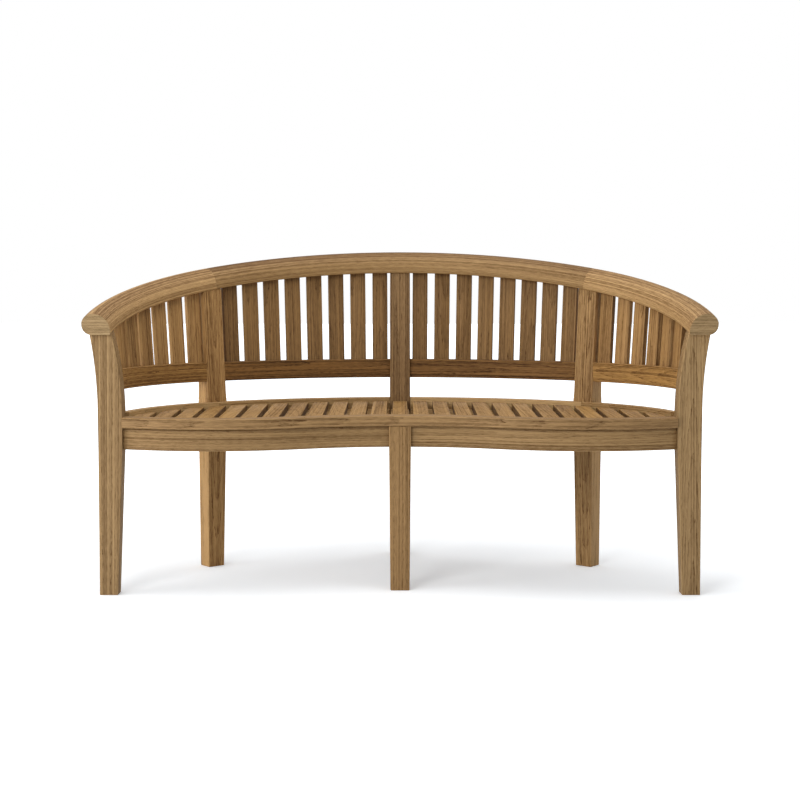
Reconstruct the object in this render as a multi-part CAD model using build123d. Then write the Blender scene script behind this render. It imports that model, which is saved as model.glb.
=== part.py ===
from build123d import *
import math
import os

# Curved teak garden bench: a slatted back that sweeps round into the arms, a slatted seat with a
# wavy front edge, and six legs. Millimetres, Z up, front towards -Y.
# While the pieces are laid out, Y = 0 is the front face of the two outer front legs.

# Plan of the frame: a three-centred arch along the outer faces of the seat rails
arch_depth = 555.0              # from the front legs' front faces to the crown of the arch
arch_half_width = 696.3         # where the arch comes down to the front line
arch_center_radius = 796.0      # the two back bays
corner_angle = 39.0             # degrees from straight back, where the corner posts stand

# Plan of the seat front: one hollow between two lobes, along the apron's front face
wave_setback = 67.0             # middle of the hollow, behind the front legs' front faces
wave_reach = 33.5               # crest of each lobe, ahead of the front legs' front faces
wave_crest_share = 0.6815       # crest of each lobe, as a share of the way to the front leg
wave_hollow_radius = 570.0

# Heights above the floor
seat_height = 432.0             # top of the seat slats and of the front board
lower_rail_bottom = 497.0

# Seat rails, aprons and front board
seat_rail_thickness = 25.0
seat_rail_height = 80.0
seat_rail_lip = 10.0            # seat rail above the slats
rail_easing = 3.0               # rounding of the seat rails' and lower back rails' long edges
post_proud = 2.0                # the middle post stands this far inside the seat rails' inner faces
apron_thickness = 30.0
apron_height = 53.0
board_thickness = 26.0
board_overhang = 18.0           # front board ahead of the apron
board_nose = 4.0                # rounding of the front board's front edges

# Outer front legs, seen from the front: tapered foot, flared head
leg_lap = 21.3                  # the arch runs this far into the leg's width
leg_width = 60.0                # at the seat
leg_foot_shift = 10.0           # inner face at the foot, outside the inner face at the seat
leg_foot_width = 44.5
leg_outer_batter = 1.5          # outer face leans out by this much from the apron to the seat
leg_depth = 46.0
leg_foot_depth = 38.0
leg_inner_flare_radius = 790.0
leg_outer_flare_radius = 1040.0
leg_flare_start = 430.0         # height where both edges start to curve outwards

# Middle front leg
mid_leg_width = 54.5
mid_leg_foot_width = 47.5
mid_leg_depth = 43.0
mid_leg_foot_depth = 38.0
mid_leg_proud = 13.0            # front face ahead of the apron

# Back posts: tapered foot, upright at the seat, raked and tapered above it
post_width = 57.0
post_foot_width = 48.0
post_top_width = 56.0
post_depth = 52.0
post_foot_depth = 43.0
post_top_depth = 32.0
corner_post_set = 9.0           # corner posts further out than the middle one, behind lapped seat rails
post_taper_height = 770.0       # height at which the top width and depth are reached
back_rake = 5.0                 # degrees outwards, for posts and back slats
rake_start = 442.0              # height of the bend
bend_radius = 260.0

# Lower back rails
lower_rail_thickness = 36.0
lower_rail_height = 51.0
lower_rail_inset = 10.0         # behind the middle post's raked front face, at the rail's middle height

# Top rail: three pieces in one plane that falls towards the arms
rail_center_grow = 5.0          # inner lower edge outside the arch's back radius, in the sloping plane
rail_half_width_grow = 5.1      # and outside the arch at the front line
splice_lead = 0.8               # degrees from the corner posts to the splices
rail_slope = 15.5               # degrees
rail_start_height = 635.5       # underside above the front legs' front faces
rail_height = 49.5
rail_width = 71.0
rail_face = 5.0                 # upright strip under the inner round
rail_arris = 3.0                # eased inner lower edge
arm_overhang = 10.0             # arm ends ahead of the front legs

# Back slats
back_slat_width = 42.0
back_slat_thickness = 14.0
back_slat_inset = 24.0          # behind the middle post's front face
middle_slat_count = 8           # in each back bay
middle_first_gap = 6.0          # beside the middle post
middle_last_gap = 12.7          # beside the corner post
side_slat_count = 6             # in each side bay
side_first_gap = 2.0            # beside the corner post
side_last_gap = 33.0            # beside the front leg
slat_housing = 12.0             # depth of the slat mortises in both rails

# Seat slats, bearer and cleats
seat_slat_count = 25
seat_slat_width = 40.0
seat_slat_thickness = 22.0
seat_side_margin = 15.5         # left over beside each front leg when the slats share the front line
seat_slat_fan = 1.043           # pitch at the crown of the arch, against the front line
slat_end_gap = 1.5
cleat_width = 22.0
cleat_height = 25.0
cleat_end_gap = 1.0
front_cleat_short = 75.0        # outer ends of the front cleats, short of the front legs
bearer_width = 50.0
bearer_height = 45.0

# Mortise and tenon joints, pegs, loose tenons and screws
joint_clearance = 0.15
tenon_length = 18.0
tenon_thickness = 10.0
tenon_shoulder = 8.0            # above and below a tenon
seat_tenon_set = 8.0            # middle of the seat rails' tenons, in from their outer faces
seat_tenon_low_shoulder = 32.0  # leaves room for the aprons' tenons in the front legs
apron_tenon_set = 8.0           # middle of the aprons' tenons, behind their front faces
apron_tenon_top_shoulder = 20.0
bearer_tenon_length = 14.0
bearer_tenon_width = 14.0
head_tenon_width = 30.0
head_tenon_depth = 15.0
head_tenon_height = 15.0        # legs and posts into the top rail
stub_tenon_height = 14.0        # middle front leg into the front board
loose_tenon_length = 60.0
loose_tenon_width = 24.0
loose_tenon_thickness = 12.0
loose_tenon_rise = 23.0         # above the rail's underside
peg_diameter = 8.0
peg_recess = 0.5                # under the posts' back faces
screw_length = 36.0
screw_diameter = 4.5
screw_head_diameter = 9.0
screw_head_height = 3.0
screw_point = 3.0
screw_clearance = 0.1
screw_recess = 0.5              # under the cleats' faces
screw_places = (0.25, 0.75)     # share of each cleat's length

quarter_turn = 90.0             # degrees from straight back to straight sideways


def three_centred(half_width, depth, radius, angle):
    """Two tangent arcs of an arch as (centre x, centre y, radius): the crown's, then the right side's."""
    turn_sin = math.sin(math.radians(angle))
    turn_cos = math.cos(math.radians(angle))
    drop = depth - radius
    chord = half_width ** 2 + drop ** 2 - radius ** 2
    shift = chord / (2 * (half_width * turn_sin - drop * turn_cos - radius))
    return (0.0, drop, radius), (shift * turn_sin, drop + shift * turn_cos, radius - shift)


# Values worked out from the driving dimensions
back_arc, side_arc = three_centred(arch_half_width, arch_depth, arch_center_radius, corner_angle)
leg_inner = arch_half_width - leg_lap
leg_foot_inner = leg_inner + leg_foot_shift
front_cleat_reach = leg_inner - front_cleat_short
post_line = -seat_rail_thickness - post_proud       # middle post's front face, as an offset from the arch
rake = math.tan(math.radians(back_rake))
slat_underside = seat_height - seat_slat_thickness
board_underside = seat_height - board_thickness
apron_bottom = board_underside - apron_height
seat_rail_top = seat_height + seat_rail_lip
seat_rail_bottom = seat_rail_top - seat_rail_height
lower_rail_top = lower_rail_bottom + lower_rail_height
wave_crest = wave_crest_share * leg_inner
wave_angle = 2 * math.atan((wave_setback + wave_reach) / wave_crest)
wave_lobe_radius = wave_crest / math.sin(wave_angle) - wave_hollow_radius
rail_plane = Plane(
    origin=(0, 0, rail_start_height),
    x_dir=(1, 0, 0),
    z_dir=(0, -math.sin(math.radians(rail_slope)), math.cos(math.radians(rail_slope))),
)
rail_joint_angle = corner_angle - splice_lead
joint_turn = math.radians(rail_joint_angle)
rail_back_arc, rail_side_arc = three_centred(
    arch_half_width + rail_half_width_grow, arch_depth / math.cos(math.radians(rail_slope)),
    arch_center_radius + rail_center_grow, rail_joint_angle)
rail_crest = rail_width - rail_height / 2           # inner face to the start of the round nose
far = 2 * arch_center_radius                        # longer than the bench in any direction
head_length = rail_start_height + arch_depth        # posts and slats are cut from longer stock
post_half = post_width / 2
tenon_tip = post_half - tenon_length                # from the middle of a post
mid_leg_front = wave_setback - mid_leg_proud
bearer_front = mid_leg_front + mid_leg_depth
bearer_back = arch_depth + post_line
bearer_bottom = slat_underside - bearer_height
cleat_bottom = slat_underside - cleat_height
bay_arcs = {"back": back_arc, "side": side_arc}


def raked_offset(height):
    """Offset from the arch of the middle post's front face at a height."""
    return post_line + max(0.0, height - rake_start) * rake


lower_middle = lower_rail_bottom + lower_rail_height / 2
lower_inner = raked_offset(lower_middle) + lower_rail_inset     # lower back rails' inner faces
lower_tenon_line = lower_inner + lower_rail_thickness / 2
seat_tenon_bottom = seat_rail_bottom + seat_tenon_low_shoulder
seat_tenon_top = seat_rail_top - tenon_shoulder


def arc_point(arc, offset, angle):
    """Point in plan, at an angle from straight back towards the right."""
    x, y, radius = arc
    turn = math.radians(angle)
    return (x + (radius + offset) * math.sin(turn), y + (radius + offset) * math.cos(turn))


def arc_angle_at_depth(arc, offset, depth):
    """Angle at which an offset arc reaches a distance behind the front line."""
    return math.degrees(math.acos((depth - arc[1]) / (arc[2] + offset)))


def arc_degrees(arc, offset, length):
    """Angle that a length along an offset arc takes up."""
    return math.degrees(length / (arc[2] + offset))


def band(arc, inner, outer, start, end, bottom, top):
    """Bar bent to an arc of the plan, between two offsets, two angles and two heights."""
    center = (arc[0], arc[1])
    outside = CenterArc(center, arc[2] + outer, quarter_turn - end, end - start)
    inside = CenterArc(center, arc[2] + inner, quarter_turn - end, end - start)
    face = make_face([outside, Line(outside @ 1, inside @ 1), inside, Line(inside @ 0, outside @ 0)])
    return Pos(0, 0, bottom) * extrude(face, amount=top - bottom)


def wave_depth(offset, x):
    """Distance of the wavy front line behind the front legs, at an offset behind the apron's face."""
    if abs(x) <= (wave_hollow_radius + offset) * math.sin(wave_angle):
        return wave_setback - wave_hollow_radius + math.sqrt((wave_hollow_radius + offset) ** 2 - x * x)
    radius = wave_lobe_radius - offset
    return wave_lobe_radius - wave_reach - math.sqrt(radius * radius - (abs(x) - wave_crest) ** 2)


def wave_edges(offset, start, end):
    """Tangent arcs of the wavy front line from one x to another."""
    turn = (wave_hollow_radius + offset) * math.sin(wave_angle)
    stops = [start] + [x for x in (-turn, turn) if start < x < end] + [end]
    edges = []
    for a, b in zip(stops, stops[1:]):
        points = [(x, wave_depth(offset, x)) for x in (a, (a + b) / 2, b)]
        edges.append(ThreePointArc(*points))
    return edges


def wave_band(front, back, start, end, bottom, top):
    """Bar that follows the wavy front line, between two offsets, two ends and two heights."""
    ahead = wave_edges(front, start, end)
    behind = wave_edges(back, start, end)
    ends = [Line(ahead[0] @ 0, behind[0] @ 0), Line(ahead[-1] @ 1, behind[-1] @ 1)]
    return Pos(0, 0, bottom) * extrude(make_face(ahead + behind + ends), amount=top - bottom)


def block(x0, x1, y0, y1, z0, z1):
    """Square-edged block between two corners."""
    return Pos(x0, y0, z0) * Box(x1 - x0, y1 - y0, z1 - z0, align=(Align.MIN, Align.MIN, Align.MIN))


def behind_line(solid, depth):
    """The share of a solid that lies behind a distance from the front line."""
    return solid - block(-far, far, -far, depth, -far, far)


def below_rail(solid, rise=0.0):
    """The share of a solid under the top rail's underside, or under a plane above it."""
    return split(solid, bisect_by=rail_plane.offset(rise), keep=Keep.BOTTOM)


def two_profiles(front_outline, side_outline):
    """Sawn post: what a front outline (x, z) and a side outline (y, z) have in common."""
    from_front = extrude(Plane.XZ * front_outline, amount=far, both=True)
    from_side = extrude(Plane.YZ * side_outline, amount=far, both=True)
    return from_front & from_side


def at_arc(arc, angle, set_out=0.0):
    """Frame on the middle post's front line, or set out from it: x along the arch, y outwards, z up."""
    turn = math.radians(angle)
    x, y = arc_point(arc, post_line + set_out, angle)
    return Plane(origin=(x, y, 0), x_dir=(math.cos(turn), -math.sin(turn), 0), z_dir=(0, 0, 1))


def raked_bar(width, thickness, offset, bottom, top):
    """Straight bar that leans out with the back: its middle is at an offset from the post's front face."""
    start = Pos(0, offset + (bottom - rake_start) * rake, bottom) * Rectangle(width, thickness)
    return extrude(start, amount=(top - bottom) / math.cos(math.radians(back_rake)), dir=(0, rake, 1))


def raked_share(height):
    """How much of a post's upper taper is used up at a height."""
    return max(0.0, height - rake_start) / (post_taper_height - rake_start)


def post_back(height):
    """Back face of a post above the seat, in the post's frame."""
    depth = post_depth + (post_top_depth - post_depth) * raked_share(height)
    return max(0.0, height - rake_start) * rake + depth


def post_front_outline(gap=0.0):
    """Front outline of a back post, widened by a gap on both sides."""
    half_foot = post_foot_width / 2 + gap
    half_seat = post_half + gap
    half_top = (post_width + (post_top_width - post_width) * raked_share(head_length)) / 2 + gap
    return make_face(Polyline(
        (-half_foot, 0), (half_foot, 0), (half_seat, seat_rail_bottom), (half_seat, rake_start),
        (half_top, head_length), (-half_top, head_length), (-half_seat, rake_start),
        (-half_seat, seat_rail_bottom), close=True))


def post_set(angle):
    """How far a back post stands out from the middle one's line."""
    return corner_post_set if angle else 0.0


def post_frame(angle):
    """Frame of a back post, its front face at y = 0."""
    return at_arc(back_arc, angle, post_set(angle))


def post_slot(angle, gap=0.0, lap=False):
    """Everything between a post's side faces, ahead of it and behind it, or only from its front face back."""
    outline = Plane.XZ * post_front_outline(gap)
    return post_frame(angle) * extrude(outline, amount=-far, both=not lap)


def back_post():
    """One back post in its own frame, running past the top rail's underside."""
    top = head_length
    foot_set = (post_depth - post_foot_depth) / 2
    side_outline = make_face(Polyline(
        (foot_set, 0), (post_depth - foot_set, 0), (post_depth, seat_rail_bottom), (post_depth, rake_start),
        (post_back(top), top), ((top - rake_start) * rake, top), (0, rake_start), (0, seat_rail_bottom),
        close=True))
    bends = [v for v in side_outline.vertices() if abs(v.Y - rake_start) < joint_clearance]
    return two_profiles(post_front_outline(), fillet(bends, bend_radius))


def head_tenon(clearance=0.0):
    """Tenon on a raked post's head, in the post's frame."""
    return raked_bar(head_tenon_width + 2 * clearance, head_tenon_depth + 2 * clearance,
                     post_top_depth / 2, lower_rail_top, head_length)


def flare(radius, height):
    """How far a leg's edge has curved outwards at a height."""
    return radius - math.sqrt(radius ** 2 - (height - leg_flare_start) ** 2)


def flared_edge(x, radius, top):
    """Edge of a leg's head, from upright at the seat to its flared top."""
    heights = (leg_flare_start, (leg_flare_start + top) / 2, top)
    return ThreePointArc(*[(x + flare(radius, z), z) for z in heights])


def front_leg():
    """Right front leg: tapered below the apron, both edges flaring out above the seat."""
    top = rail_start_height + leg_depth
    outer = leg_inner + leg_width
    inner_edge = flared_edge(leg_inner, leg_inner_flare_radius, top)
    outer_edge = flared_edge(outer, leg_outer_flare_radius, top)
    around = Polyline(
        outer_edge @ 0, (outer - leg_outer_batter, apron_bottom), (leg_foot_inner + leg_foot_width, 0),
        (leg_foot_inner, 0), (leg_inner, apron_bottom), inner_edge @ 0)
    front_outline = make_face([*around.edges(), inner_edge, Line(inner_edge @ 1, outer_edge @ 1), outer_edge])
    side_outline = make_face(Polyline(
        (0, 0), (leg_foot_depth, 0), (leg_depth, apron_bottom), (leg_depth, top), (0, top), close=True))
    return two_profiles(front_outline, side_outline)


def front_leg_tenon(clearance=0.0):
    """Tenon on the right front leg's head, running past the top rail's underside."""
    inner = leg_inner + flare(leg_inner_flare_radius, rail_start_height)
    outer = leg_inner + leg_width + flare(leg_outer_flare_radius, rail_start_height)
    x = (inner + outer) / 2
    half_width = head_tenon_width / 2 + clearance
    half_depth = head_tenon_depth / 2 + clearance
    return block(x - half_width, x + half_width, leg_depth / 2 - half_depth, leg_depth / 2 + half_depth,
                 rail_start_height - head_tenon_depth, head_length)


def rail_section():
    """Section of the top rail: flat underside, round outer nose, quarter-round inner face."""
    half_turn = math.sqrt(0.5)
    bottom = Line((rail_arris, 0), (rail_crest, 0))
    outer = ThreePointArc((rail_crest, 0), (rail_width, rail_height / 2), (rail_crest, rail_height))
    inner = ThreePointArc(
        (rail_crest, rail_height),
        (rail_crest * (1 - half_turn), rail_face + (rail_height - rail_face) * half_turn),
        (0, rail_face))
    face = Line((0, rail_face), (0, rail_arris))
    arris = Line((0, rail_arris), (rail_arris, 0))
    return make_face([bottom, outer, inner, face, arris])


def rail_piece(arc, start, end):
    """Length of the top rail on an arc of its sloping plane."""
    turn = math.radians(end)
    place = Plane(origin=(arc[0], arc[1], 0), x_dir=(math.sin(turn), math.cos(turn), 0),
                  z_dir=(math.cos(turn), -math.sin(turn), 0))
    section = place * Pos(arc[2], 0, 0) * rail_section()
    axis = Axis((arc[0], arc[1], 0), (0, 0, 1))
    return rail_plane * revolve(section, axis=axis, revolution_arc=end - start)


def loose_tenon(clearance=0.0):
    """Loose tenon across the right splice of the top rail."""
    x, y = arc_point(rail_back_arc, rail_crest, rail_joint_angle)
    middle = loose_tenon_rise + loose_tenon_thickness / 2
    place = Plane(origin=(x, y, middle), x_dir=(math.cos(joint_turn), -math.sin(joint_turn), 0))
    return rail_plane * place * Box(
        loose_tenon_length + 2 * clearance, loose_tenon_width + 2 * clearance,
        loose_tenon_thickness + 2 * clearance)


def screw(clearance=0.0, mouth=0.0):
    """Countersunk wood screw along +Z, its head's face at the origin; a hole for it has a mouth."""
    head = screw_head_diameter / 2 + clearance
    shank = screw_diameter / 2 + clearance
    opening = [(0, -mouth), (head, -mouth)] if mouth else [(0, 0)]
    outline = make_face(Polyline(
        *opening, (head, 0), (shank, screw_head_height),
        (shank, screw_length - screw_point), (0, screw_length + clearance), close=True))
    return revolve(Plane.XZ * outline, axis=Axis.Z)


def peg(length, clearance=0.0, mouth=0.0):
    """Round peg along -Z from its outer end at the origin; a hole for it has a mouth."""
    return Pos(0, 0, mouth) * Cylinder(peg_diameter / 2 + clearance, length + clearance + mouth,
                                       align=(Align.CENTER, Align.CENTER, Align.MAX))


def bay_bar(bay, inner, outer, bottom, top):
    """Bent bar along a whole bay on the right, running past its ends."""
    start, end = (0.0, corner_angle) if bay == "back" else (corner_angle, quarter_turn)
    return band(bay_arcs[bay], inner, outer, start, end, bottom, top)


def between_posts(bay, bar, gap=0.0, lap=False):
    """Ends a bar of a bay at the posts' side faces and the front leg; it may lap over the corner post."""
    bar = bar - post_slot(corner_angle, gap, lap)
    return bar - post_slot(0, gap) if bay == "back" else behind_line(bar, leg_depth + gap)


def bay_tenon(bay, offset, bottom, top, clearance=0.0):
    """Tenon that runs through a bay's rail and out of both its ends."""
    arc = bay_arcs[bay]
    reach = arc_degrees(arc, offset, tenon_tip - clearance)
    if bay == "back":
        start, end = reach, corner_angle - reach
    else:
        start = corner_angle + reach
        end = arc_angle_at_depth(arc, offset, leg_depth - tenon_length - clearance)
    half = tenon_thickness / 2 + clearance
    return band(arc, offset - half, offset + half, start, end, bottom - clearance, top + clearance)


def lower_tenon(bay, clearance=0.0):
    """Tenon of a lower back rail."""
    return bay_tenon(bay, lower_tenon_line, lower_rail_bottom + tenon_shoulder,
                     lower_rail_top - tenon_shoulder, clearance)


def seat_tenon(bay, clearance=0.0):
    """Tenon of a seat rail."""
    return bay_tenon(bay, -seat_tenon_set, seat_tenon_bottom, seat_tenon_top, clearance)


def apron_tenon(clearance=0.0):
    """Tenon that runs through the right apron and out of both its ends."""
    half = tenon_thickness / 2 + clearance
    reach = tenon_length + clearance
    return wave_band(apron_tenon_set - half, apron_tenon_set + half,
                     mid_leg_width / 2 - reach, leg_inner + reach,
                     apron_bottom + tenon_shoulder - clearance,
                     board_underside - apron_tenon_top_shoulder + clearance)


def bearer_tenon(clearance=0.0):
    """Tenon that runs through the bearer and out of both its ends."""
    half = bearer_tenon_width / 2 + clearance
    reach = bearer_tenon_length + clearance
    return block(-half, half, bearer_front - reach, bearer_back + reach,
                 bearer_bottom + tenon_shoulder - clearance,
                 slat_underside - tenon_shoulder + clearance)


def stub_tenon(clearance=0.0):
    """Stub on the middle front leg's head, let into the front board."""
    middle = mid_leg_front + mid_leg_depth / 2
    half_width = head_tenon_width / 2 + clearance
    half_depth = head_tenon_depth / 2 + clearance
    return block(-half_width, half_width, middle - half_depth, middle + half_depth,
                 board_underside - stub_tenon_height, board_underside + stub_tenon_height + clearance)


def eased(solid, keep_edge, radius):
    """Rounds the bent edges of a bar that a test picks by their middle points."""
    bent = [e for e in solid.edges().filter_by(GeomType.CIRCLE) if keep_edge(e @ 0.5)]
    return fillet(bent, radius)


def mirrored(solid):
    """The same piece on the left."""
    return mirror(solid, about=Plane.YZ)


def both_sides(solids):
    """Right-hand solids with their left-hand twins, kept together as one node."""
    right = [s for part in solids for s in part.solids()]
    return Compound(right + [mirrored(s) for s in right])


def lower_rail(bay):
    """Lower back rail of a bay, its long edges eased, with its tenon."""
    bar = bay_bar(bay, lower_inner, lower_inner + lower_rail_thickness, lower_rail_bottom, lower_rail_top)
    return between_posts(bay, eased(bar, lambda p: True, rail_easing)) + lower_tenon(bay)


def seat_rail(bay):
    """Seat rail of a bay, its top edges eased, lapped over the corner post's front, with its tenon."""
    bar = bay_bar(bay, -seat_rail_thickness, 0, seat_rail_bottom, seat_rail_top)
    bar = eased(bar, lambda p: p.Z > seat_height, rail_easing)
    return between_posts(bay, bar, lap=True) + seat_tenon(bay)


def cleat(bay):
    """Cleat screwed inside a seat rail, under the slat ends."""
    bar = bay_bar(bay, -seat_rail_thickness - cleat_width, -seat_rail_thickness, cleat_bottom, slat_underside)
    return between_posts(bay, bar, cleat_end_gap)


def back_slats(bay, clearance=0.0):
    """Back slats of a bay, let into the lower rail and the top rail."""
    arc = bay_arcs[bay]
    offset = raked_offset(lower_rail_top) + back_slat_inset
    post_turn = arc_degrees(arc, offset, post_half)
    if bay == "back":
        start, end = post_turn, corner_angle - post_turn
        first_gap, last_gap, count = middle_first_gap, middle_last_gap, middle_slat_count
    else:
        start, end = corner_angle + post_turn, arc_angle_at_depth(arc, offset, leg_depth)
        first_gap, last_gap, count = side_first_gap, side_last_gap, side_slat_count
    first = start + arc_degrees(arc, offset, first_gap + back_slat_width / 2)
    last = end - arc_degrees(arc, offset, last_gap + back_slat_width / 2)
    slats = []
    for i in range(count):
        angle = first + (last - first) * i / (count - 1)
        bar = raked_bar(back_slat_width + 2 * clearance, back_slat_thickness + 2 * clearance,
                        back_slat_inset + back_slat_thickness / 2,
                        lower_rail_top - slat_housing - clearance, head_length)
        slats.append(below_rail(at_arc(arc, angle) * bar, slat_housing + clearance))
    return slats


def post_pegs(angle, sides, clearance=0.0, mouth=0.0):
    """Pegs driven into a post from behind, as far as the front of the rails' tenons."""
    rows = (((seat_tenon_bottom + seat_tenon_top) / 2, -seat_tenon_set), (lower_middle, lower_tenon_line))
    pegs = []
    for side in sides:
        for height, tenon_line in rows:
            back = post_back(height) - peg_recess
            tip = tenon_line - tenon_thickness / 2 - post_line - post_set(angle)
            place = Pos(side * (post_half - tenon_length / 2), back, height) * Rot(-quarter_turn, 0, 0)
            pegs.append(post_frame(angle) * place * peg(back - tip, clearance, mouth))
    return pegs


def right_pegs(clearance=0.0, mouth=0.0):
    """Pegs of the right corner post and of the middle post's right side."""
    return post_pegs(0, (1,), clearance, mouth) + post_pegs(corner_angle, (-1, 1), clearance, mouth)


def right_screws(clearance=0.0, mouth=0.0):
    """Screws of the three right-hand cleats, driven from their inner faces."""
    height = slat_underside - cleat_height / 2
    inner = -seat_rail_thickness - cleat_width
    spans = (
        (back_arc, 0.0, corner_angle),
        (side_arc, corner_angle, arc_angle_at_depth(side_arc, inner, leg_depth)),
    )
    places = []
    for arc, start, end in spans:
        for share in screw_places:
            angle = start + share * (end - start)
            turn = math.radians(angle)
            x, y = arc_point(arc, inner + screw_recess, angle)
            places.append(Plane(origin=(x, y, height), z_dir=(math.sin(turn), math.cos(turn), 0)))
    back = apron_thickness + cleat_width - screw_recess
    for share in screw_places:
        x = mid_leg_width / 2 + share * (front_cleat_reach - mid_leg_width / 2)
        ahead, behind = wave_depth(back, x + cleat_width), wave_depth(back, x - cleat_width)
        slope = (ahead - behind) / (2 * cleat_width)
        places.append(Plane(origin=(x, wave_depth(back, x), height), z_dir=(slope, -1, 0)))
    return [place * screw(clearance, mouth) for place in places]


def seat_region():
    """Space for the seat slats, a gap clear of the arch, the posts and the front board."""
    offset = post_line - slat_end_gap
    end = arc_angle_at_depth(side_arc, offset, -wave_reach)
    crown = CenterArc(back_arc[:2], back_arc[2] + offset, quarter_turn - corner_angle, 2 * corner_angle)
    right = CenterArc(side_arc[:2], side_arc[2] + offset, quarter_turn - end, end - corner_angle)
    left = mirrored(right)
    plan = make_face([crown, right, left, Line(right @ 0, (-(right @ 0).X, (right @ 0).Y))])
    region = Pos(0, 0, slat_underside) * extrude(plan, amount=seat_slat_thickness)
    front = wave_band(-wave_setback - wave_reach - board_overhang, apron_thickness + slat_end_gap,
                      -leg_foot_inner, leg_foot_inner, slat_underside, seat_height)
    return region - front


def seat_slat(place, region):
    """Seat slat, counted from the middle; the slats fan out slightly towards the back."""
    front_pitch = 2 * (leg_inner - seat_side_margin) / seat_slat_count
    y0, y1 = -wave_reach, arch_depth
    x0, x1 = [place * front_pitch * (1 + (seat_slat_fan - 1) * y / arch_depth) for y in (y0, y1)]
    half = seat_slat_width / 2
    strip = make_face(Polyline(
        (x0 - half, y0), (x0 + half, y0), (x1 + half, y1), (x1 - half, y1), close=True))
    return region & (Pos(0, 0, slat_underside) * extrude(strip, amount=seat_slat_thickness))


# Posts and legs with their tenons and mortises
c = joint_clearance
pieces = {}
peg_holes = right_pegs(c, peg_diameter)
bay_mortises = [tenon(bay, c) for bay in bay_arcs for tenon in (lower_tenon, seat_tenon)]
corner_post = below_rail(post_frame(corner_angle) * back_post())
corner_post = corner_post + below_rail(post_frame(corner_angle) * head_tenon(), head_tenon_height)
corner_post = corner_post - bay_mortises - peg_holes
middle_post = below_rail(post_frame(0) * back_post())
middle_post = middle_post + below_rail(post_frame(0) * head_tenon(), head_tenon_height)
back_mortises = [tenon("back", c) for tenon in (lower_tenon, seat_tenon)]
back_mortises = back_mortises + post_pegs(0, (1,), c, peg_diameter)
middle_post = middle_post - back_mortises - [mirrored(m) for m in back_mortises] - bearer_tenon(c)
leg = below_rail(front_leg()) + below_rail(front_leg_tenon(), head_tenon_height)
leg = leg - [lower_tenon("side", c), seat_tenon("side", c), apron_tenon(c)]
half_mid = mid_leg_width / 2
half_mid_foot = mid_leg_foot_width / 2
mid_leg = two_profiles(
    make_face(Polyline((-half_mid_foot, 0), (half_mid_foot, 0), (half_mid, apron_bottom),
                       (half_mid, board_underside), (-half_mid, board_underside), (-half_mid, apron_bottom),
                       close=True)),
    make_face(Polyline((mid_leg_front, 0), (mid_leg_front + mid_leg_foot_depth, 0),
                       (bearer_front, apron_bottom), (bearer_front, board_underside),
                       (mid_leg_front, board_underside), close=True)))
mid_leg = mid_leg + stub_tenon() - [apron_tenon(c), mirrored(apron_tenon(c)), bearer_tenon(c)]
pieces["front_leg_center"] = mid_leg
pieces["front_leg_right"] = leg
pieces["back_post_center"] = middle_post
pieces["back_post_right"] = corner_post

# Rails, aprons, cleats, board and bearer
screw_holes = right_screws(screw_clearance, cleat_width)
back_slots = back_slats("back", c)
side_slots = back_slats("side", c)
slots = {"back": back_slots, "side": side_slots}
for bay in bay_arcs:
    pieces[f"lower_{bay}_rail_right"] = lower_rail(bay) - slots[bay] - peg_holes
    pieces[f"seat_{bay}_rail_right"] = seat_rail(bay) - peg_holes - screw_holes
    pieces[f"seat_{bay}_cleat_right"] = cleat(bay) - screw_holes
apron = wave_band(0, apron_thickness, half_mid, leg_inner, apron_bottom, board_underside) + apron_tenon()
pieces["front_apron_right"] = apron - screw_holes
front_cleat = wave_band(apron_thickness, apron_thickness + cleat_width, half_mid + cleat_end_gap,
                        front_cleat_reach, cleat_bottom, slat_underside)
pieces["seat_front_cleat_right"] = front_cleat - screw_holes
board_end = leg_inner - joint_clearance
board = wave_band(-board_overhang, apron_thickness, -board_end, board_end, board_underside, seat_height)
board = eased(board, lambda p: abs(p.Y - wave_depth(-board_overhang, p.X)) < joint_clearance, board_nose)
pieces["seat_front_board"] = board - stub_tenon(c)
bearer = block(-bearer_width / 2, bearer_width / 2, bearer_front, bearer_back, bearer_bottom, slat_underside)
pieces["center_bearer"] = bearer + bearer_tenon()

# Top rail in three pieces, with mortises for posts, legs and slats
corner_mortise = below_rail(post_frame(corner_angle) * head_tenon(c), head_tenon_height + c)
middle_mortise = below_rail(post_frame(0) * head_tenon(c), head_tenon_height + c)
leg_mortise = below_rail(front_leg_tenon(c), head_tenon_height + c)
center_cuts = [corner_mortise, loose_tenon(c)] + back_slots
center_rail = rail_piece(rail_back_arc, -rail_joint_angle, rail_joint_angle)
pieces["top_rail_center"] = center_rail - center_cuts - [mirrored(s) for s in center_cuts] - middle_mortise
arm_end = arc_angle_at_depth(rail_side_arc, 0, -arm_overhang - rail_height)
side_rail = behind_line(rail_piece(rail_side_arc, rail_joint_angle, arm_end), -arm_overhang)
pieces["top_rail_right"] = side_rail - [corner_mortise, leg_mortise, loose_tenon(c)] - side_slots

# Left-hand twins, slats, and the hidden fastenings
for name in [n for n in pieces if n.endswith("_right")]:
    pieces[name.replace("_right", "_left")] = mirrored(pieces[name])
for bay in bay_arcs:
    right_group = Compound([s for slat in back_slats(bay) for s in slat.solids()])
    pieces[f"{bay}_slats_right"] = right_group
    pieces[f"{bay}_slats_left"] = mirrored(right_group)
region = seat_region()
half_count = seat_slat_count // 2
for place in range(half_count + 1):
    slat = seat_slat(place, region)
    pieces[f"seat_slat_{half_count + 1 + place:02d}"] = slat
    if place:
        pieces[f"seat_slat_{half_count + 1 - place:02d}"] = mirrored(slat)
pieces["rail_splice_tenons"] = both_sides([loose_tenon()])
pieces["joint_pegs"] = both_sides(right_pegs())
pieces["cleat_screws"] = both_sides(right_screws())

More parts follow.
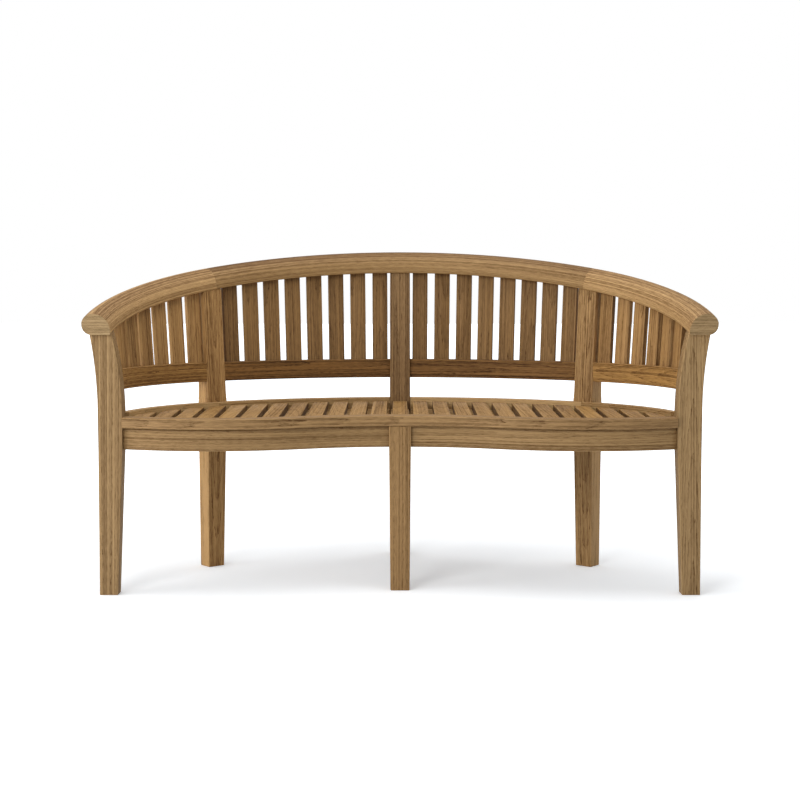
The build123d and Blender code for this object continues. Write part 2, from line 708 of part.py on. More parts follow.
# The bench is centred over its footprint and written out piece by piece
boxes = [piece.bounding_box() for piece in pieces.values()]
middle_y = (min(b.min.Y for b in boxes) + max(b.max.Y for b in boxes)) / 2
os.makedirs("parts", exist_ok=True)
for name, piece in pieces.items():
    export_step(Pos(0, -middle_y, 0) * piece, f"parts/{name}.step")
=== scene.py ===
import math
import random

import bmesh
import bpy
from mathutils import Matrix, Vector
from mathutils.bvhtree import BVHTree


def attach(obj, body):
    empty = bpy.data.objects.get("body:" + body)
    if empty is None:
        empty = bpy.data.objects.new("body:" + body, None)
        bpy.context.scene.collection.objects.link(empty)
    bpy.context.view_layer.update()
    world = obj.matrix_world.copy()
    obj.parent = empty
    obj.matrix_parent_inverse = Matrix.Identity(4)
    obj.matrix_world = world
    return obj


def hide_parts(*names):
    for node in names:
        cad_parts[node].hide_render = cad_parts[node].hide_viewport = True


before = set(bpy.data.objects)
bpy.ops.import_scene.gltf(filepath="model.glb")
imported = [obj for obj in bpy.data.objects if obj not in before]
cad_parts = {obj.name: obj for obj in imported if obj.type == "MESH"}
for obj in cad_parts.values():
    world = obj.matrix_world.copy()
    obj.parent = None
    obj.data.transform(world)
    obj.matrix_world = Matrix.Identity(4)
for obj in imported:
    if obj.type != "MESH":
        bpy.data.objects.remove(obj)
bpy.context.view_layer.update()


# Front legs: three sawn teak legs. The outer two taper to the foot and flare out under the arms,
# and the middle one stands proud of the aprons. Their outer arrises and their feet are eased by hand.
leg_arris = 0.0022
leg_pith = (0.02, 0.06)
same_point = 0.00001
short_edge = 0.004
sharp_turn = math.radians(28)
smooth_turn = math.radians(40)
widest_mortise = 0.06
mortise_step = 0.0005
mortise_lift = 0.0002
chance = random.Random(7)
longest_log = 20.0
lean_chance = random.Random(11)
heart_depth = 0.07
heart_aside = 0.02
heart_lean = 0.028


def in_mortise(edge, solid):
    """Whether one of the edge's faces looks at another face of the same piece close by."""
    middle = (edge.verts[0].co + edge.verts[1].co) / 2
    for face in edge.link_faces:
        inwards = (face.calc_center_median() - middle).normalized() * mortise_step
        start = middle + inwards + face.normal * mortise_lift
        hit = solid.ray_cast(start, face.normal, widest_mortise)
        if hit[0] is not None:
            return True
    return False


def planed(node, arris, also=None):
    """Merged copy of a CAD node with its outer arrises rounded, and short ones too where also says so."""
    wood = bmesh.new()
    wood.from_mesh(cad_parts[node].data)
    bmesh.ops.remove_doubles(wood, verts=wood.verts, dist=same_point)
    solid = BVHTree.FromBMesh(wood)
    # The arris layer marks rounded edges for wear, and later code puts painted light and shade into it.
    wear_and_painted_light = wood.faces.layers.float.new("arris")
    arrises = []
    for edge in wood.edges:
        if len(edge.link_faces) != 2 or not edge.is_convex:
            continue
        if edge.calc_face_angle(0.0) < sharp_turn:
            continue
        wanted = edge.calc_length() > short_edge or (also and also(edge))
        if wanted and not in_mortise(edge, solid):
            arrises.append(edge)
    rounded = bmesh.ops.bevel(wood, geom=arrises, offset=arris, offset_type="OFFSET", affect="EDGES",
                              segments=2, profile=0.5, clamp_overlap=True, material=-1)
    for face in rounded["faces"]:
        face[wear_and_painted_light] = 1.0
    return wood


def boards(wood):
    """The separate boards of a mesh, each as a list of its vertices."""
    waiting = set(wood.verts)
    found = []
    for first in list(wood.verts):
        if first not in waiting:
            continue
        waiting.discard(first)
        board = [first]
        for vert in board:
            for edge in vert.link_edges:
                other = edge.other_vert(vert)
                if other in waiting:
                    waiting.discard(other)
                    board.append(other)
        found.append(board)
    return found


def laid_along(wood, lines, pith, seen=2):
    """Writes where each point lies in its own log: along and across the grain, and out from its heart.

    The heart leans. It lies behind the face in view, in the direction of lines that seen counts to.
    """
    grain = wood.verts.layers.float_vector.new("grain")
    heart = wood.verts.layers.float_vector.new("heart")
    facing = wood.verts.layers.float.new("upward")
    wood.normal_update()
    for vert in wood.verts:
        vert[facing] = max(0.0, vert.normal.z)
    for board in boards(wood):
        start = longest_log * chance.random()
        side = pith[0] * chance.uniform(-1.0, 1.0)
        below = pith[1] * chance.uniform(0.7, 1.3) * chance.choice((-1, 1))
        lean = heart_lean * lean_chance.uniform(-1.0, 1.0)
        aside = heart_aside * lean_chance.uniform(-1.0, 1.0)
        middle = sum((v.co for v in board), Vector()) / len(board)
        center = Vector(lines(middle))
        for vert in board:
            place = Vector(lines(vert.co))
            offset = place - center
            depth = offset[seen] + heart_depth + lean * offset.x
            vert[grain] = (place.x + start, offset.y + side, offset.z + below)
            vert[heart] = (place.x + start, offset[3 - seen] + aside, depth)


def finished(node, wood, finish):
    """Puts a planed copy in the place of its CAD node."""
    mesh = bpy.data.meshes.new(node + "_wood")
    wood.to_mesh(mesh)
    wood.free()
    mesh.shade_smooth()
    mesh.set_sharp_from_angle(angle=smooth_turn)
    piece = bpy.data.objects.new(node + "_wood", mesh)
    bpy.context.scene.collection.objects.link(piece)
    mesh.materials.append(finish)
    even = piece.modifiers.new("even_shading", "WEIGHTED_NORMAL")
    even.keep_sharp = True
    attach(piece, "root")
    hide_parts(node)
    return piece


def node_at(tree, kind, x, y, **settings):
    """Adds a shader node with some of its settings."""
    made = tree.nodes.new(kind)
    made.location = (x, y)
    for key, value in settings.items():
        setattr(made, key, value)
    return made


def teak_figure():
    """Figure of sawn teak from the place in the log: growth rings, streaks, pores and slow tones, plus wear
    on rounded arrises, the painted light and shade that the arris layer carries, and painted top shade on
    faces that look up.
    """
    tree = bpy.data.node_groups.new("teak_figure", "ShaderNodeTree")
    face = tree.interface
    face.new_socket("Grain", in_out="INPUT", socket_type="NodeSocketVector")
    face.new_socket("Heart", in_out="INPUT", socket_type="NodeSocketVector")
    face.new_socket("Arris_wear_and_painted_light", in_out="INPUT", socket_type="NodeSocketFloat")
    face.new_socket("Upward", in_out="INPUT", socket_type="NodeSocketFloat")
    for name, default in (("Light", (0.5, 0.33, 0.17, 1)), ("Dark", (0.2, 0.11, 0.05, 1))):
        face.new_socket(name, in_out="INPUT", socket_type="NodeSocketColor").default_value = default
    for name, default in (("Level", 0.62), ("Lift", 0.0), ("Strength", 1.0)):
        face.new_socket(name, in_out="INPUT", socket_type="NodeSocketFloat").default_value = default
    face.new_socket("Color", in_out="OUTPUT", socket_type="NodeSocketColor")
    face.new_socket("Roughness", in_out="OUTPUT", socket_type="NodeSocketFloat")
    face.new_socket("Height", in_out="OUTPUT", socket_type="NodeSocketFloat")
    enter = node_at(tree, "NodeGroupInput", -1400, 0)
    leave = node_at(tree, "NodeGroupOutput", 1000, 0)
    link = tree.links.new

    def stretched(along, across, y, detail, roughness=0.55):
        scale = node_at(tree, "ShaderNodeVectorMath", -1100, y, operation="MULTIPLY")
        scale.inputs[1].default_value = (along, across, across)
        link(enter.outputs["Grain"], scale.inputs[0])
        noise = node_at(tree, "ShaderNodeTexNoise", -900, y)
        noise.inputs["Scale"].default_value = 1.0
        noise.inputs["Detail"].default_value = detail
        noise.inputs["Roughness"].default_value = roughness
        link(scale.outputs[0], noise.inputs["Vector"])
        return noise.outputs["Fac"]

    def mapped(value, low, high, to_low, to_high, y):
        change = node_at(tree, "ShaderNodeMapRange", -650, y)
        change.inputs["From Min"].default_value = low
        change.inputs["From Max"].default_value = high
        change.inputs["To Min"].default_value = to_low
        change.inputs["To Max"].default_value = to_high
        link(value, change.inputs["Value"])
        return change.outputs["Result"]

    def joined(a, b, operation, y):
        both = node_at(tree, "ShaderNodeMath", -350, y, operation=operation)
        link(a, both.inputs[0])
        link(b, both.inputs[1])
        return both.outputs[0]

    log = node_at(tree, "ShaderNodeVectorMath", -1100, 500, operation="MULTIPLY")
    log.inputs[1].default_value = (0.035, 1.0, 1.0)
    link(enter.outputs["Heart"], log.inputs[0])
    rings = node_at(tree, "ShaderNodeTexWave", -900, 500, wave_type="RINGS", rings_direction="X")
    rings.wave_profile = "SAW"
    rings.inputs["Distortion"].default_value = 2.0
    rings.inputs["Detail"].default_value = 2.5
    rings.inputs["Detail Scale"].default_value = 1.6
    rings.inputs["Detail Roughness"].default_value = 0.55
    rings.inputs["Scale"].default_value = 100.0
    link(log.outputs[0], rings.inputs["Vector"])

    ring_tone = mapped(rings.outputs["Fac"], 0.0, 1.0, 0.08, -0.11, 500)
    ring_pores = mapped(rings.outputs["Fac"], 0.72, 0.97, 0.05, 1.0, 750)
    streak_tone = mapped(stretched(0.6, 280.0, 200, 4.0, 0.62), 0.28, 0.72, -0.40, 0.40, 200)
    fleck_tone = mapped(stretched(45.0, 640.0, -50, 3.0, 0.65), 0.30, 0.70, -0.22, 0.22, -50)
    slow_tone = mapped(stretched(0.7, 14.0, -300, 2.0), 0.3, 0.7, -0.18, 0.18, -300)
    dashes = mapped(stretched(70.0, 420.0, -550, 2.0), 0.52, 0.62, 0.0, 0.40, -550)
    wear_and_painted_light_noise = mapped(stretched(9.0, 60.0, -800, 3.0), 0.35, 0.65, 0.04, 0.26, -800)
    total = joined(joined(ring_tone, streak_tone, "ADD", 350), fleck_tone, "ADD", 150)
    figure = joined(total, joined(dashes, ring_pores, "MULTIPLY", -300), "SUBTRACT", -150)
    figure = joined(figure, enter.outputs["Strength"], "MULTIPLY", 0)
    figure = joined(figure, slow_tone, "ADD", 50)
    # The arris layer adds wear on rounded edges and the painted light and shade put into it elsewhere.
    figure = joined(figure, joined(wear_and_painted_light_noise, enter.outputs["Arris_wear_and_painted_light"], "MULTIPLY", -600), "ADD", -450)
    # Faces that look up shift by the signed painted top shade: painted light where it is positive, painted
    # shade where it is negative.
    raised = joined(enter.outputs["Upward"], enter.outputs["Lift"], "MULTIPLY", -750)
    level = joined(raised, enter.outputs["Level"], "ADD", -900)
    share = node_at(tree, "ShaderNodeMath", -100, 0, operation="ADD", use_clamp=True)
    link(figure, share.inputs[0])
    link(level, share.inputs[1])
    color = node_at(tree, "ShaderNodeMix", 200, 100, data_type="RGBA")
    link(share.outputs[0], color.inputs["Factor"])
    link(enter.outputs["Dark"], color.inputs["A"])
    link(enter.outputs["Light"], color.inputs["B"])
    link(color.outputs["Result"], leave.inputs["Color"])
    gloss = node_at(tree, "ShaderNodeMapRange", 200, -200)
    gloss.inputs["To Min"].default_value = 0.78
    gloss.inputs["To Max"].default_value = 0.52
    link(share.outputs[0], gloss.inputs["Value"])
    link(gloss.outputs["Result"], leave.inputs["Roughness"])
    link(figure, leave.inputs["Height"])
    return tree


def teak(name, light, dark, level=0.62, painted_top_shade=0.0, strength=1.0, lines="grain"):
    """Oiled teak finish between two colours. A positive painted top shade paints light onto faces that look
    up, a negative one paints shade onto them.
    """
    finish = bpy.data.materials.new(name)
    finish.use_nodes = True
    tree = finish.node_tree
    shader = tree.nodes["Principled BSDF"]
    shader.inputs["Specular IOR Level"].default_value = 0.22
    place = node_at(tree, "ShaderNodeAttribute", -800, 0, attribute_name=lines)
    heart = node_at(tree, "ShaderNodeAttribute", -800, 250, attribute_name="heart")
    arris = node_at(tree, "ShaderNodeAttribute", -800, -250, attribute_name="arris")
    upward = node_at(tree, "ShaderNodeAttribute", -800, -500, attribute_name="upward")
    figure = node_at(tree, "ShaderNodeGroup", -550, 0, node_tree=figure_group)
    figure.inputs["Light"].default_value = (*light, 1)
    figure.inputs["Dark"].default_value = (*dark, 1)
    figure.inputs["Level"].default_value = level
    figure.inputs["Lift"].default_value = painted_top_shade
    figure.inputs["Strength"].default_value = strength
    relief = node_at(tree, "ShaderNodeBump", -250, -250)
    relief.inputs["Strength"].default_value = 0.35
    relief.inputs["Distance"].default_value = 0.0006
    link = tree.links.new
    link(place.outputs["Vector"], figure.inputs["Grain"])
    link(heart.outputs["Vector"], figure.inputs["Heart"])
    link(arris.outputs["Fac"], figure.inputs["Arris_wear_and_painted_light"])
    link(upward.outputs["Fac"], figure.inputs["Upward"])
    link(figure.outputs["Color"], shader.inputs["Base Color"])
    link(figure.outputs["Roughness"], shader.inputs["Roughness"])
    link(figure.outputs["Height"], relief.inputs["Height"])
    link(relief.outputs["Normal"], shader.inputs["Normal"])
    return finish


def upright(point):
    """Grain that runs up a front leg."""
    return point.z, point.x, point.y


figure_group = teak_figure()
leg_teak = teak("teak_legs", (0.389, 0.249, 0.112), (0.094, 0.044, 0.012), strength=1.15)
middle_leg_teak = teak("teak_middle_leg", (0.360, 0.213, 0.086), (0.088, 0.040, 0.010), strength=1.3)
for node in ("front_leg_left", "front_leg_right", "front_leg_center"):
    wood = planed(node, leg_arris)
    laid_along(wood, upright, leg_pith)
    finished(node, wood, middle_leg_teak if node == "front_leg_center" else leg_teak)


# Back posts: three raked teak posts, sawn to a gentle bend at the seat and thinner towards the top.
# The rails are tenoned into their sides and pegged from behind. Their sideways faces are painted lighter as
# painted light, and the middle post is a darker copy of the teak as painted shade.
arch_front = -0.283102
arch_depth = 0.555
back_radius = 0.796
side_radius = 0.530
corner = math.radians(39)
back_center = Vector((0.0, arch_front + arch_depth - back_radius))
center_gap = back_radius - side_radius
side_center = Vector((center_gap * math.sin(corner), back_center.y + center_gap * math.cos(corner)))


def round_bend(center, radius):
    """Grain that follows a bent rail round a centre in plan."""
    def lines(point):
        x = abs(point.x) - center.x
        y = point.y - center.y
        return math.atan2(x, y) * radius * math.copysign(1, point.x), math.hypot(x, y), point.z
    return lines


bends = {"back": round_bend(back_center, back_radius), "side": round_bend(side_center, side_radius)}
rake_start = 0.442
rake = math.tan(math.radians(5))


def raked(bay):
    """Grain that runs up a post or a back slat and leans with it above the seat."""
    def lines(point):
        along, out, height = bends[bay](point)
        return height, along, out - max(0.0, height - rake_start) * rake
    return lines


# Lit and shaded copies of one teak: the middle post darker as painted shade, the left one lighter as
# painted light from the left.
post_teak = {
    "left": teak("teak_left_post", (0.480, 0.278, 0.104), (0.119, 0.051, 0.012), strength=1.4),
    "center": teak("teak_middle_post", (0.295, 0.174, 0.072), (0.074, 0.033, 0.009), strength=1.5),
    "right": teak("teak_right_post", (0.440, 0.262, 0.104), (0.109, 0.049, 0.013), strength=1.5),
}
painted_side_light = 2.4
sideways_normal = 0.7
plank_pith = (0.02, 0.05)
for side, finish in post_teak.items():
    node = f"back_post_{side}"
    wood = planed(node, leg_arris)
    wear_and_painted_light = wood.faces.layers.float["arris"]
    # Faces that look sideways are painted lighter: painted light on the posts' sides.
    for face in wood.faces:
        if abs(face.normal.x) > sideways_normal:
            face[wear_and_painted_light] = max(face[wear_and_painted_light], painted_side_light)
    laid_along(wood, raked("back"), plank_pith)
    finished(node, wood, finish)


# Seat rails and lower back rails: bent teak rails between the posts, with eased edges.
# Each bay follows one of two radii of the bench's plan, and the grain follows the bend.
rail_arris = 0.0015
seat_rail_teak = teak("teak_seat_rails", (0.546, 0.348, 0.153), (0.150, 0.074, 0.020))
rail_teak = {
    "seat_back": seat_rail_teak,
    "seat_side": seat_rail_teak,
    # The lower back rails take a darker copy of the teak: painted shade.
    "lower_back": teak("teak_lower_back", (0.245, 0.120, 0.033), (0.056, 0.022, 0.004), strength=2.0),
    "lower_side": teak("teak_lower_side", (0.450, 0.245, 0.073), (0.115, 0.050, 0.012), strength=1.6),
}
for bay, lines in bends.items():
    for side in ("left", "right"):
        for kind in ("seat", "lower"):
            node = f"{kind}_{bay}_rail_{side}"
            wood = planed(node, rail_arris)
            laid_along(wood, lines, plank_pith, seen=1)
            finished(node, wood, rail_teak[f"{kind}_{bay}"])


# Cleats and bearer: plain teak battens under the seat that carry the slats.
# The cleats are bent to the rails and screwed on. The bearer runs from the middle leg to the middle post.
cleat_arris = 0.001
teak_light = (0.53, 0.325, 0.140)
teak_dark = (0.130, 0.060, 0.017)
wave_setback = 0.067
wave_reach = 0.0335
wave_crest = 0.460
hollow_radius = 0.570
wave_turn = 2 * math.atan((wave_setback + wave_reach) / wave_crest)
lobe_radius = wave_crest / math.sin(wave_turn) - hollow_radius


def lengthways(point):
    """Grain that runs from front to back."""
    return point.y, point.x, point.z


def front_wave(x):
    """Where the apron's front face lies at a distance from the middle."""
    if abs(x) <= hollow_radius * math.sin(wave_turn):
        return arch_front + wave_setback - hollow_radius + math.sqrt(hollow_radius ** 2 - x * x)
    return arch_front + lobe_radius - wave_reach - math.sqrt(lobe_radius ** 2 - (abs(x) - wave_crest) ** 2)


def sideways(point):
    """Grain that runs across the bench, along the wavy front."""
    return point.x, point.y - front_wave(point.x), point.z


batten_teak = teak("teak_battens", teak_light, teak_dark)
for side in ("left", "right"):
    for bay, lines in (*bends.items(), ("front", sideways)):
        node = f"seat_{bay}_cleat_{side}"
        wood = planed(node, cleat_arris)
        laid_along(wood, lines, plank_pith)
        finished(node, wood, batten_teak)
wood = planed("center_bearer", rail_arris)
laid_along(wood, lengthways, plank_pith)
finished("center_bearer", wood, batten_teak)


# Front aprons and front board: teak sawn to the same wave, a hollow between two lobes.
# The board lies on the aprons and the middle leg, and its front edges are rounded over.
board_arris = 0.0012
painted_shade_height = 0.0032
painted_shade_tone = -3.4


def painted_shade_strip(wood, height):
    """Cuts the faces at a height and paints the strip above it dark: painted shade under the board's
    overhang.
    """
    whole = wood.verts[:] + wood.edges[:] + wood.faces[:]
    bmesh.ops.bisect_plane(wood, geom=whole, plane_co=(0.0, 0.0, height), plane_no=(0.0, 0.0, 1.0))
    wear_and_painted_light = wood.faces.layers.float["arris"]
    for face in wood.faces:
        if face.calc_center_median().z > height:
            face[wear_and_painted_light] = painted_shade_tone


apron_teak = teak("teak_aprons", (0.357, 0.220, 0.092), (0.097, 0.045, 0.012), strength=1.3)
board_teak = teak("teak_board", (0.347, 0.208, 0.086), (0.085, 0.039, 0.010), strength=1.3)
for node in ("front_apron_left", "front_apron_right", "seat_front_board"):
    wood = planed(node, board_arris)
    if node != "seat_front_board":
        # The top strip of each apron is painted dark: painted shade under the front board's overhang.
        painted_shade_strip(wood, max(v.co.z for v in wood.verts) - painted_shade_height)
    laid_along(wood, sideways, plank_pith, seen=1)
    finished(node, wood, board_teak if node == "seat_front_board" else apron_teak)


# Seat slats: flat teak slats from the front board to the back, fanned a little towards the back.
# Every slat has eased arrises and a figure of its own.
seat_slats = 25
seat_arris = 0.002
slat_pith = (0.03, 0.05)
# The seat's tops are painted lighter than the slats' sides: painted light on the tops and painted shade in
# the gaps.
seat_teak = teak("teak_seat", (0.369, 0.208, 0.066), (0.091, 0.040, 0.009), level=0.12, painted_top_shade=0.54)
for number in range(1, seat_slats + 1):
    node = f"seat_slat_{number:02d}"
    wood = planed(node, seat_arris)
    laid_along(wood, lengthways, slat_pith)
    finished(node, wood, seat_teak)


# Back slats: thin raked teak slats let into the lower rails and the top rail.
# Each group fills one bay, and every slat has its own place in the log. The side slats' front edges carry
# painted light on the left and painted shade on the right, and the back slats take a darker copy of the
# teak as painted shade.
slat_arris = 0.0018
# The back slats take a darker copy of the side slats' teak: painted shade.
slat_teak = {
    "back": teak("teak_back_slats", (0.291, 0.161, 0.056), (0.071, 0.031, 0.008), strength=1.15),
    "side": teak("teak_side_slats", (0.428, 0.241, 0.087), (0.104, 0.046, 0.011), strength=1.15),
}
painted_edge_light_and_shade = {"left": 4.0, "right": -1.9}
edge_normal = 0.6


def at_front_edge(face):
    """Whether a face is the narrow edge of a side slat that looks towards the front."""
    place = face.calc_center_median()
    out = (Vector((abs(place.x), place.y)) - side_center).normalized()
    towards_front = face.normal.x * math.copysign(1, place.x) * out.y - face.normal.y * out.x
    return towards_front > edge_normal


for node in ("side_slats_left", "back_slats_left", "back_slats_right", "side_slats_right"):
    bay, _, side = node.split("_")
    wood = planed(node, slat_arris)
    wear_and_painted_light = wood.faces.layers.float["arris"]
    # The side slats' front edges get painted light on the left and painted shade on the right.
    for face in wood.faces:
        if bay == "side" and at_front_edge(face):
            face[wear_and_painted_light] = painted_edge_light_and_shade[side]
    laid_along(wood, raked(bay), slat_pith)
    finished(node, wood, slat_teak[bay])


# Top rail: three lengths of teak moulded to a round nose, spliced over the corner posts.
# The plane of the rail falls towards the front, where the outer lengths end as arms with sawn ends.
top_rail_arris = 0.0012
top_rail_pith = (0.01, 0.16)
rail_slope = math.radians(15.5)
rail_start = Vector((0.0, arch_front, 0.6355))
rail_back_radius = 0.801
rail_side_radius = 0.541
rail_corner = math.radians(38.2)
rail_back_y = arch_depth / math.cos(rail_slope) - rail_back_radius
rail_gap = rail_back_radius - rail_side_radius
rail_side_y = rail_back_y + rail_gap * math.cos(rail_corner)
rail_side_middle = Vector((rail_gap * math.sin(rail_corner), rail_side_y))
arm_overhang = 0.010
arm_front = arch_front - arm_overhang
on_arm_end = 0.0005
facing_front = -0.95
sawn_end = 1


def falling_bend(center, radius):
    """Grain that follows the top rail round a centre in its sloping plane."""
    level = round_bend(center, radius)

    def lines(point):
        rise = point.z - rail_start.z
        back = point.y - rail_start.y
        across = back * math.cos(rail_slope) + rise * math.sin(rail_slope)
        height = rise * math.cos(rail_slope) - back * math.sin(rail_slope)
        return level(Vector((point.x, across, height)))
    return lines


def at_arm_end(edge):
    """Edges round the end of an arm."""
    return all(abs(v.co.y - arm_front) < on_arm_end for v in edge.verts)


# Faces of the crown and arms that look up are painted darker: painted shade on the tops.
crown_teak = teak("teak_crown", (0.437, 0.270, 0.110), (0.107, 0.048, 0.013), level=0.64, painted_top_shade=-0.58,
                  strength=1.1)
arm_teak = teak("teak_arms", (0.57, 0.358, 0.153), (0.136, 0.064, 0.019), level=0.64, painted_top_shade=-0.42,
                strength=1.1)
arm_end_teak = teak("teak_arm_ends", (0.395, 0.266, 0.130), (0.150, 0.092, 0.037), strength=1.5,
                    lines="end_lines")
outer_bend = falling_bend(rail_side_middle, rail_side_radius)
crown_bend = falling_bend(Vector((0.0, rail_back_y)), rail_back_radius)
rail_bends = {"left": outer_bend, "center": crown_bend, "right": outer_bend}
for place, lines in rail_bends.items():
    node = f"top_rail_{place}"
    wood = planed(node, top_rail_arris, at_arm_end)
    laid_along(wood, lines, top_rail_pith)
    if place == "center":
        finished(node, wood, crown_teak)
        continue
    end_lines = wood.verts.layers.float_vector.new("end_lines")
    for vert in wood.verts:
        vert[end_lines] = vert.co.xzy
    for face in wood.faces:
        at_end = abs(face.calc_center_median().y - arm_front) < on_arm_end
        if at_end and face.normal.y < facing_front:
            face.material_index = sawn_end
    arm = finished(node, wood, arm_teak)
    arm.data.materials.append(arm_end_teak)


# Splice tenons and pegs: teak pieces inside the joints. Only the peg ends show, behind the posts.
# Their edges are barely eased, and their grain runs across the bench.
peg_arris = 0.0004
peg_pith = (0.01, 0.03)
peg_teak = teak("teak_pegs", teak_light, teak_dark)
for node in ("rail_splice_tenons", "joint_pegs"):
    wood = planed(node, peg_arris)
    laid_along(wood, sideways, peg_pith)
    finished(node, wood, peg_teak)


# Cleat screws: countersunk steel wood screws, seen only from under the seat.
# The steel is plain, with a fine, uneven dulling. The CAD solids stay and only take this finish.
steel = bpy.data.materials.new("screw_steel")
steel.use_nodes = True
steel_shader = steel.node_tree.nodes["Principled BSDF"]
steel_shader.inputs["Metallic"].default_value = 1.0
steel_place = node_at(steel.node_tree, "ShaderNodeTexCoord", -900, 0)
steel_noise = node_at(steel.node_tree, "ShaderNodeTexNoise", -700, 0)
steel_noise.inputs["Scale"].default_value = 900.0
steel_noise.inputs["Detail"].default_value = 3.0
steel_tone = node_at(steel.node_tree, "ShaderNodeMix", -400, 100, data_type="RGBA")
steel_tone.inputs["A"].default_value = (0.40, 0.39, 0.37, 1)
steel_tone.inputs["B"].default_value = (0.62, 0.61, 0.59, 1)
steel_gloss = node_at(steel.node_tree, "ShaderNodeMapRange", -400, -200)
steel_gloss.inputs["To Min"].default_value = 0.28
steel_gloss.inputs["To Max"].default_value = 0.5
steel.node_tree.links.new(steel_place.outputs["Object"], steel_noise.inputs["Vector"])
steel.node_tree.links.new(steel_noise.outputs["Fac"], steel_tone.inputs["Factor"])
steel.node_tree.links.new(steel_noise.outputs["Fac"], steel_gloss.inputs["Value"])
steel.node_tree.links.new(steel_tone.outputs["Result"], steel_shader.inputs["Base Color"])
steel.node_tree.links.new(steel_gloss.outputs["Result"], steel_shader.inputs["Roughness"])
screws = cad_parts["cleat_screws"]
screws.data.materials.clear()
screws.data.materials.append(steel)


# Studio: a white floor that keeps a soft shadow, white surroundings and broad soft lamps.
# The camera stands level in front of the bench, framed a little downwards.
floor_size = 60.0
floor_white = (0.94, 0.955, 0.97, 1)
floor_glow = (0.94, 1.0, 1.06, 1)
glow_start = 0.8
glow_full = 2.4
glow_near = 0.24
ground = bmesh.new()
bmesh.ops.create_grid(ground, x_segments=1, y_segments=1, size=floor_size / 2)
floor_mesh = bpy.data.meshes.new("studio_floor")
ground.to_mesh(floor_mesh)
ground.free()
floor = bpy.data.objects.new("studio_floor", floor_mesh)
bpy.context.scene.collection.objects.link(floor)
white = bpy.data.materials.new("studio_white")
white.use_nodes = True
white_tree = white.node_tree
white_shader = white_tree.nodes["Principled BSDF"]
white_shader.inputs["Base Color"].default_value = floor_white
white_shader.inputs["Roughness"].default_value = 1.0
white_shader.inputs["Specular IOR Level"].default_value = 0.0
white_shader.inputs["Emission Color"].default_value = floor_glow
white_path = node_at(white_tree, "ShaderNodeLightPath", -600, -200)
white_place = node_at(white_tree, "ShaderNodeTexCoord", -1000, -450)
white_reach = node_at(white_tree, "ShaderNodeVectorMath", -800, -450, operation="LENGTH")
white_fade = node_at(white_tree, "ShaderNodeMapRange", -600, -450)
white_fade.inputs["From Min"].default_value = glow_start
white_fade.inputs["From Max"].default_value = glow_full
white_fade.inputs["To Min"].default_value = glow_near
white_fade.inputs["To Max"].default_value = 1.0
white_lift = node_at(white_tree, "ShaderNodeMath", -300, -200, operation="MULTIPLY")
white_tree.links.new(white_place.outputs["Object"], white_reach.inputs[0])
white_tree.links.new(white_reach.outputs["Value"], white_fade.inputs["Value"])
white_tree.links.new(white_path.outputs["Is Camera Ray"], white_lift.inputs[0])
white_tree.links.new(white_fade.outputs["Result"], white_lift.inputs[1])
white_tree.links.new(white_lift.outputs[0], white_shader.inputs["Emission Strength"])
floor_mesh.materials.append(white)

sky_plain = 0.15
sky_overhead = 0.8
sky_overhead_power = 4.0
sky_at_sides = 0.55
sky = bpy.data.worlds.new("studio_sky")
bpy.context.scene.world = sky
sky.use_nodes = True
sky_tree = sky.node_tree
sky_light = sky_tree.nodes["Background"]
sky_light.inputs["Color"].default_value = (1.0, 1.0, 1.0, 1)
sky_path = node_at(sky_tree, "ShaderNodeLightPath", -600, 0)
sky_seen = node_at(sky_tree, "ShaderNodeMath", -400, 0, operation="MAXIMUM")
sky_way = node_at(sky_tree, "ShaderNodeTexCoord", -1000, -250)
sky_parts = node_at(sky_tree, "ShaderNodeSeparateXYZ", -800, -250)
sky_rise = node_at(sky_tree, "ShaderNodeMath", -600, -250, operation="POWER")
sky_rise.inputs[1].default_value = sky_overhead_power
sky_dome = node_at(sky_tree, "ShaderNodeMath", -400, -250, operation="MULTIPLY_ADD")
sky_dome.inputs[1].default_value = sky_overhead
sky_dome.inputs[2].default_value = sky_plain
sky_sides = node_at(sky_tree, "ShaderNodeMath", -600, -500, operation="MULTIPLY")
sky_sum = node_at(sky_tree, "ShaderNodeMath", -200, -300, operation="MULTIPLY_ADD")
sky_sum.inputs[1].default_value = sky_at_sides
sky_level = node_at(sky_tree, "ShaderNodeMix", -200, 0)
sky_level.inputs["B"].default_value = 1.0
sky_tree.links.new(sky_way.outputs["Generated"], sky_parts.inputs["Vector"])
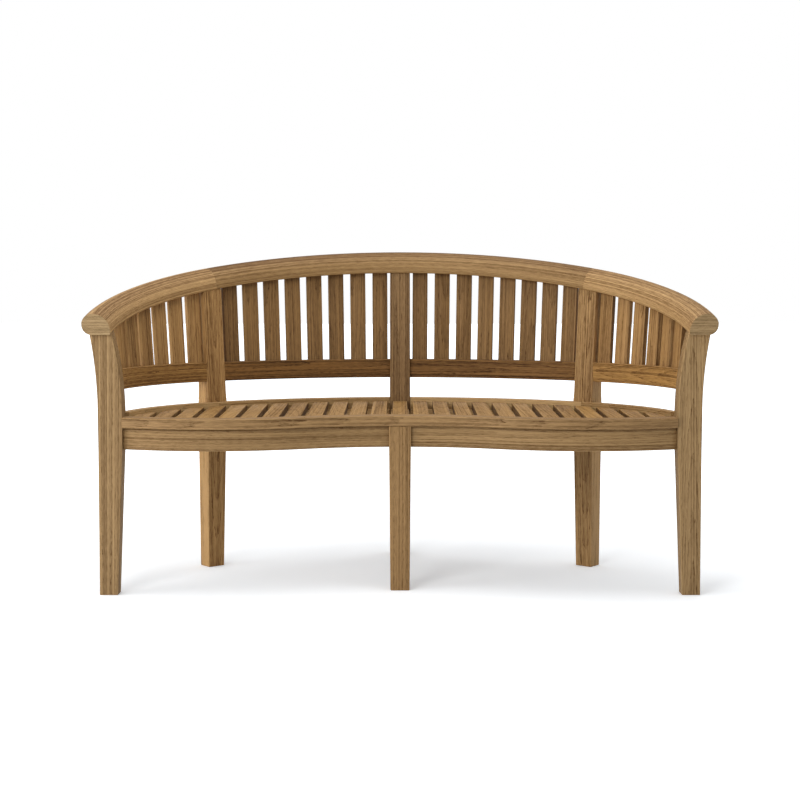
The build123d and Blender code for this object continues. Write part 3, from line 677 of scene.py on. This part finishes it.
sky_tree.links.new(sky_parts.outputs["Z"], sky_rise.inputs[0])
sky_tree.links.new(sky_rise.outputs[0], sky_dome.inputs[0])
sky_tree.links.new(sky_path.outputs["Is Camera Ray"], sky_seen.inputs[0])
sky_tree.links.new(sky_path.outputs["Is Glossy Ray"], sky_seen.inputs[1])
sky_tree.links.new(sky_seen.outputs[0], sky_level.inputs["Factor"])
sky_tree.links.new(sky_parts.outputs["X"], sky_sides.inputs[0])
sky_tree.links.new(sky_parts.outputs["X"], sky_sides.inputs[1])
sky_tree.links.new(sky_sides.outputs[0], sky_sum.inputs[0])
sky_tree.links.new(sky_dome.outputs[0], sky_sum.inputs[2])
sky_tree.links.new(sky_sum.outputs[0], sky_level.inputs["A"])
sky_tree.links.new(sky_level.outputs["Result"], sky_light.inputs["Strength"])


def soft_lamp(name, place, aim, width, power):
    """Broad square lamp that faces a point."""
    lamp = bpy.data.lights.new(name, "AREA")
    lamp.size = width
    lamp.energy = power
    holder = bpy.data.objects.new(name, lamp)
    holder.location = place
    holder.rotation_euler = (Vector(aim) - Vector(place)).to_track_quat("-Z", "Y").to_euler()
    bpy.context.scene.collection.objects.link(holder)


soft_lamp("overhead_lamp", place=(0.0, 0.02, 3.0), aim=(0.0, 0.02, 0.0), width=2.2, power=46.0)
soft_lamp("left_lamp", place=(-2.7, -0.9, 0.80), aim=(0.0, 0.0, 0.40), width=1.6, power=26.0)
soft_lamp("front_lamp", place=(-1.6, -3.2, 1.9), aim=(0.0, 0.0, 0.5), width=1.4, power=48.0)

camera_distance = 3.45
camera_height = 0.735
camera_data = bpy.data.cameras.new("photo_camera")
camera_data.sensor_width = 36.0
camera_data.lens = 63.9
camera_data.shift_y = -0.134
camera = bpy.data.objects.new("photo_camera", camera_data)
camera.location = (0.0, arch_front - camera_distance, camera_height)
camera.rotation_euler = (math.radians(90), 0.0, 0.0)
bpy.context.scene.collection.objects.link(camera)
bpy.context.scene.camera = camera
bpy.context.scene.view_settings.view_transform = "Standard"
